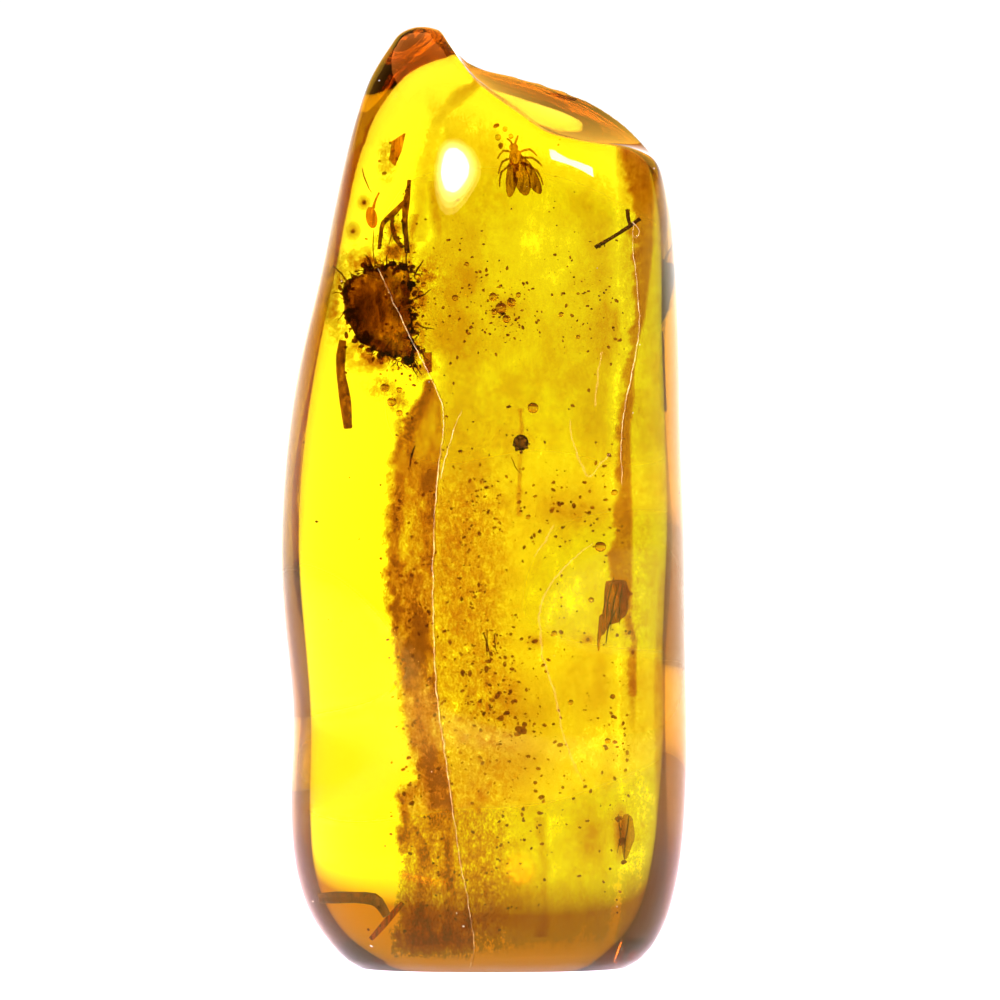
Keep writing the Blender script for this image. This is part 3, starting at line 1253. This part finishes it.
def bark_fibre(bm, picker, radius):
    """A short fibre that stands off the edge of the rotten bark."""
    side = picker.randrange(len(BARK_OUTLINE) - 1)
    share = picker.random()
    (xa, za), (xb, zb) = BARK_OUTLINE[side:side + 2]
    x, z = xa + (xb - xa) * share, za + (zb - za) * share
    reach = picker.uniform(0.15, 0.5)
    turn = picker.choice(FIBRE_TURNS) + picker.uniform(-0.8, 0.8)
    end = (x + reach * math.cos(turn), z + reach * math.sin(turn))
    sag = picker.uniform(-0.1, 0.1)
    strand(bm, (x, z), end, sag, radius * picker.uniform(0.4, 1.0))


class AMBER_OT_fibres(bpy.types.Operator):
    """Make the plant hairs and the fibres of the bark"""
    bl_idname = "amber.fibres"
    bl_label = "Fibres"

    def execute(self, context):
        settings = context.scene.amber_fibres
        picker = random.Random(settings.seed)
        bm = bmesh.new()
        for x0, z0, x1, z1, sag in HAIRS:
            strand(bm, (x0, z0), (x1, z1), sag, settings.radius * picker.uniform(0.7, 1.5))
        for index in range(settings.fringe):
            bark_fibre(bm, picker, settings.radius)
        fibres = new_object("fibres", finished(bm, "fibres"))
        fibres.data.materials.append(stained_material("fibre"))
        fibres.data.shade_smooth()
        settle(fibres)
        return {"FINISHED"}


class AMBER_OT_stage(bpy.types.Operator):
    """Set the floor, the light and the camera"""
    bl_idname = "amber.stage"
    bl_label = "Stage"

    def execute(self, context):
        settings = context.scene.amber_stage
        make_floor(settings.floor)
        make_world(context.scene, settings.strength)
        make_lamps()
        make_camera(context.scene)
        context.scene.view_settings.view_transform = "Standard"
        return {"FINISHED"}


def make_floor(half_size):
    """A pale floor that fades out far away, a little greyer just in front of the stone."""
    bm = bmesh.new()
    bmesh.ops.create_grid(bm, x_segments=1, y_segments=1, size=half_size / MM)
    floor = new_object("floor", finished(bm, "floor"))
    material, shader = new_material("pale_floor")
    tree = material.node_tree
    tree.links.new(fade_node(tree, (0.0, 0.0, 0.0), 0.10, 0.43, 1.0, 0.0), shader.inputs["Alpha"])
    patch = fade_node(tree, (0.0, -0.075, 0.0), 0.045, 0.085, 0.0, 1.0)
    shade = ramp_node(tree, patch, ((0.0, (0.52, 0.49, 0.50)), (1.0, (0.93, 0.90, 0.935))))
    tree.links.new(shade, shader.inputs["Base Color"])
    shader.inputs["Roughness"].default_value = 1.0
    shader.inputs["Specular IOR Level"].default_value = 0.0
    floor.data.materials.append(material)


# Brightness of the studio round the stone, from behind the camera to behind the stone,
# as a share of the brightest.
ROUND_ABOUT = (
    (0.0, (0.20, 0.20, 0.20)),
    (0.05, (0.20, 0.20, 0.20)),
    (0.12, (0.40, 0.30, 0.23)),
    (0.34, (0.40, 0.30, 0.23)),
    (0.56, (0.62, 0.50, 0.40)),
    (0.76, (1.0, 1.0, 1.0)),
)
# The same by the sine of the height above eye level: white paper, then a warm dim room.
OVERHEAD = (
    (0.07, (1.0, 1.0, 1.0)),
    (0.22, (0.36, 0.15, 0.02)),
    (0.75, (0.28, 0.13, 0.04)),
    (0.95, (0.22, 0.09, 0.03)),
)
RIGHT_SIDE = 0.5    # how much brighter the studio is on the right than in the middle
WHITE_BEHIND = 1.05


def make_world(scene, strength):
    """White behind and beside the stone, dimmer overhead and on the camera's side."""
    world = bpy.data.worlds.new("studio")
    world.use_nodes = True
    tree = world.node_tree
    nodes, links = tree.nodes, tree.links
    coordinate = nodes.new("ShaderNodeTexCoord")
    parts = nodes.new("ShaderNodeSeparateXYZ")
    links.new(coordinate.outputs["Generated"], parts.inputs[0])
    square = math_node(tree, "MULTIPLY", parts.outputs["Z"], parts.outputs["Z"])
    reach = math_node(tree, "SQRT", math_node(tree, "SUBTRACT", 1.0001, square))
    turned = math_node(tree, "DIVIDE", parts.outputs["Y"], reach)
    around = ramp_node(tree, math_node(tree, "MULTIPLY_ADD", turned, 0.5, 0.5), ROUND_ABOUT)
    above = ramp_node(tree, parts.outputs["Z"], OVERHEAD)
    sideways = math_node(tree, "MULTIPLY_ADD", parts.outputs["X"], RIGHT_SIDE, strength)
    colour = nodes.new("ShaderNodeMix")
    colour.data_type = "RGBA"
    colour.blend_type = "MULTIPLY"
    colour.inputs["Factor"].default_value = 1.0
    links.new(around, colour.inputs[6])
    links.new(above, colour.inputs[7])
    studio = nodes["Background"]
    links.new(colour.outputs[2], studio.inputs["Color"])
    links.new(sideways, studio.inputs["Strength"])
    white = nodes.new("ShaderNodeBackground")
    white.inputs["Color"].default_value = (1.0, 1.0, 1.0, 1.0)
    white.inputs["Strength"].default_value = WHITE_BEHIND
    path = nodes.new("ShaderNodeLightPath")
    mix = nodes.new("ShaderNodeMixShader")
    links.new(path.outputs["Is Camera Ray"], mix.inputs["Fac"])
    links.new(studio.outputs[0], mix.inputs[1])
    links.new(white.outputs[0], mix.inputs[2])
    links.new(mix.outputs[0], nodes["World Output"].inputs["Surface"])
    scene.world = world


def aim(obj, target):
    direction = Vector(target) - obj.location
    obj.rotation_euler = direction.to_track_quat("-Z", "Y").to_euler()


LIT_PLACE = (0.0, -0.004, 0.036)    # what the window and the side lamp point at
WINDOW_PLACE = (-0.100, -0.367, 0.171)
SIDE_PLACE = (0.162, -0.325, 0.209)
SIDE_SIZE = (0.15, 0.026)
SIDE_POWER = 1.7
SIDE_ROLL = math.radians(-15.0)
# Round lamps behind one another, each wider and dimmer: diameter and power.
WINDOW_RINGS = ((0.078, 2.1), (0.090, 0.42), (0.102, 0.38), (0.114, 0.30), (0.128, 0.22))
DAYLIGHT = (0.60, 0.62, 1.0)    # cool, as the resin hardly mirrors blue
# Warm cards that only the top of the stone mirrors: place, target, size, power, colour.
WARM_CARDS = (
    ("facet_card", (0.0, 0.060, 0.069), (0.0, 0.0, 0.038), (0.14, 0.036), 0.017, (1.0, 0.60, 0.06)),
    ("lobe_card", (-0.025, 0.0, 0.092), (-0.003, 0.0, 0.041), (0.075, 0.055), 0.06,
     (1.0, 0.28, 0.07)),
)
# Lamps that only the floor shows: place, size, power, spread in degrees.
WASHES = (
    ("rear_wash", (0.0, 0.33, 0.27), (1.3, 0.25), 6.5, 180.0),
    ("front_wash", (0.0, -0.60, 0.25), (1.3, 0.25), 0.5, 180.0),
    ("near_wash", (0.0, -0.003, 0.16), (0.03, 0.03), 0.012, 16.0),
)


def add_lamp(name, place, target, size, power):
    """A soft lamp, round or, with two sizes, oblong, that the camera doesn't see."""
    data = bpy.data.lights.new(name, "AREA")
    data.shape = "RECTANGLE"
    data.size, data.size_y = size
    data.energy = power
    lamp = new_object(name, data)
    lamp.location = place
    aim(lamp, target)
    lamp.visible_camera = False
    data.use_shadow = False
    return lamp


def make_highlight_lamps():
    """The window and the long lamp that the polish mirrors."""
    x, y, z = WINDOW_PLACE
    for index, (size, power) in enumerate(WINDOW_RINGS):
        ring = add_lamp(f"window_{index}", (x, y - 0.001 * index, z), LIT_PLACE, (size, size), power)
        ring.data.shape = "DISK"
        ring.data.color = DAYLIGHT
    side = add_lamp("side_lamp", SIDE_PLACE, LIT_PLACE, SIDE_SIZE, SIDE_POWER)
    side.data.color = DAYLIGHT
    side.rotation_euler.rotate_axis("Z", SIDE_ROLL)


def make_lamps():
    """The lamps for the highlights, the warm cards, and the washes for the floor."""
    make_highlight_lamps()
    for name, place, target, size, power, colour in WARM_CARDS:
        card = add_lamp(name, place, target, size, power)
        card.data.color = colour
        card.visible_transmission = False
    for name, place, size, power, spread in WASHES:
        wash = add_lamp(name, place, (0.0, place[1], 0.0), size, power)
        wash.visible_glossy = False
        wash.visible_transmission = False
        wash.data.spread = math.radians(spread)


# The camera: its distance, its rise above level, the width of its view and what it looks at.
CAMERA_DISTANCE = 0.40
CAMERA_RISE = math.radians(2.0)
VIEW_WIDTH = 0.04468
VIEW_TARGET = Vector((0.000715, 0.0, 0.0209))


def make_camera(scene):
    """A long lens a little above the middle of the stone, framed as the photograph."""
    data = bpy.data.cameras.new("camera")
    data.sensor_width = 36.0
    data.lens = data.sensor_width * CAMERA_DISTANCE / VIEW_WIDTH
    data.clip_start = 0.01
    camera = new_object("camera", data)
    away = Vector((0, -math.cos(CAMERA_RISE), math.sin(CAMERA_RISE)))
    camera.location = VIEW_TARGET + CAMERA_DISTANCE * away
    aim(camera, VIEW_TARGET)
    scene.camera = camera


class AMBER_PT_panel(bpy.types.Panel):
    """Tools that build the amber"""
    bl_idname = "AMBER_PT_panel"
    bl_label = "Amber with insect"
    bl_space_type = "VIEW_3D"
    bl_region_type = "UI"
    bl_category = "Amber"

    def draw(self, context):
        layout = self.layout
        for group in SETTINGS:
            settings = getattr(context.scene, group)
            box = layout.box()
            for name in settings.__annotations__:
                box.prop(settings, name)
        for operator in OPERATORS:
            layout.operator(operator.bl_idname)


SETTINGS = {
    "amber_stage": AmberStageSettings,
    "amber_stone": AmberStoneSettings,
    "amber_seam": AmberSeamSettings,
    "amber_grains": AmberGrainSettings,
    "amber_cracks": AmberCrackSettings,
    "amber_fibres": AmberFibreSettings,
}
OPERATORS = (AMBER_OT_stage, AMBER_OT_stone, AMBER_OT_seam, AMBER_OT_sealed, AMBER_OT_grains,
             AMBER_OT_cracks, AMBER_OT_fibres)
CLASSES = (*SETTINGS.values(), *OPERATORS, AMBER_PT_panel)


def register():
    for cls in CLASSES:
        bpy.utils.register_class(cls)
    for name, group in SETTINGS.items():
        setattr(bpy.types.Scene, name, bpy.props.PointerProperty(type=group))


def unregister():
    for name in SETTINGS:
        delattr(bpy.types.Scene, name)
    for cls in reversed(CLASSES):
        bpy.utils.unregister_class(cls)


def main():
    register()
    bpy.ops.amber.stage()
    bpy.ops.amber.stone()
    bpy.ops.amber.seam()
    bpy.ops.amber.sealed()
    bpy.ops.amber.grains()
    bpy.ops.amber.cracks()
    bpy.ops.amber.fibres()


if __name__ == "__main__":
    main()
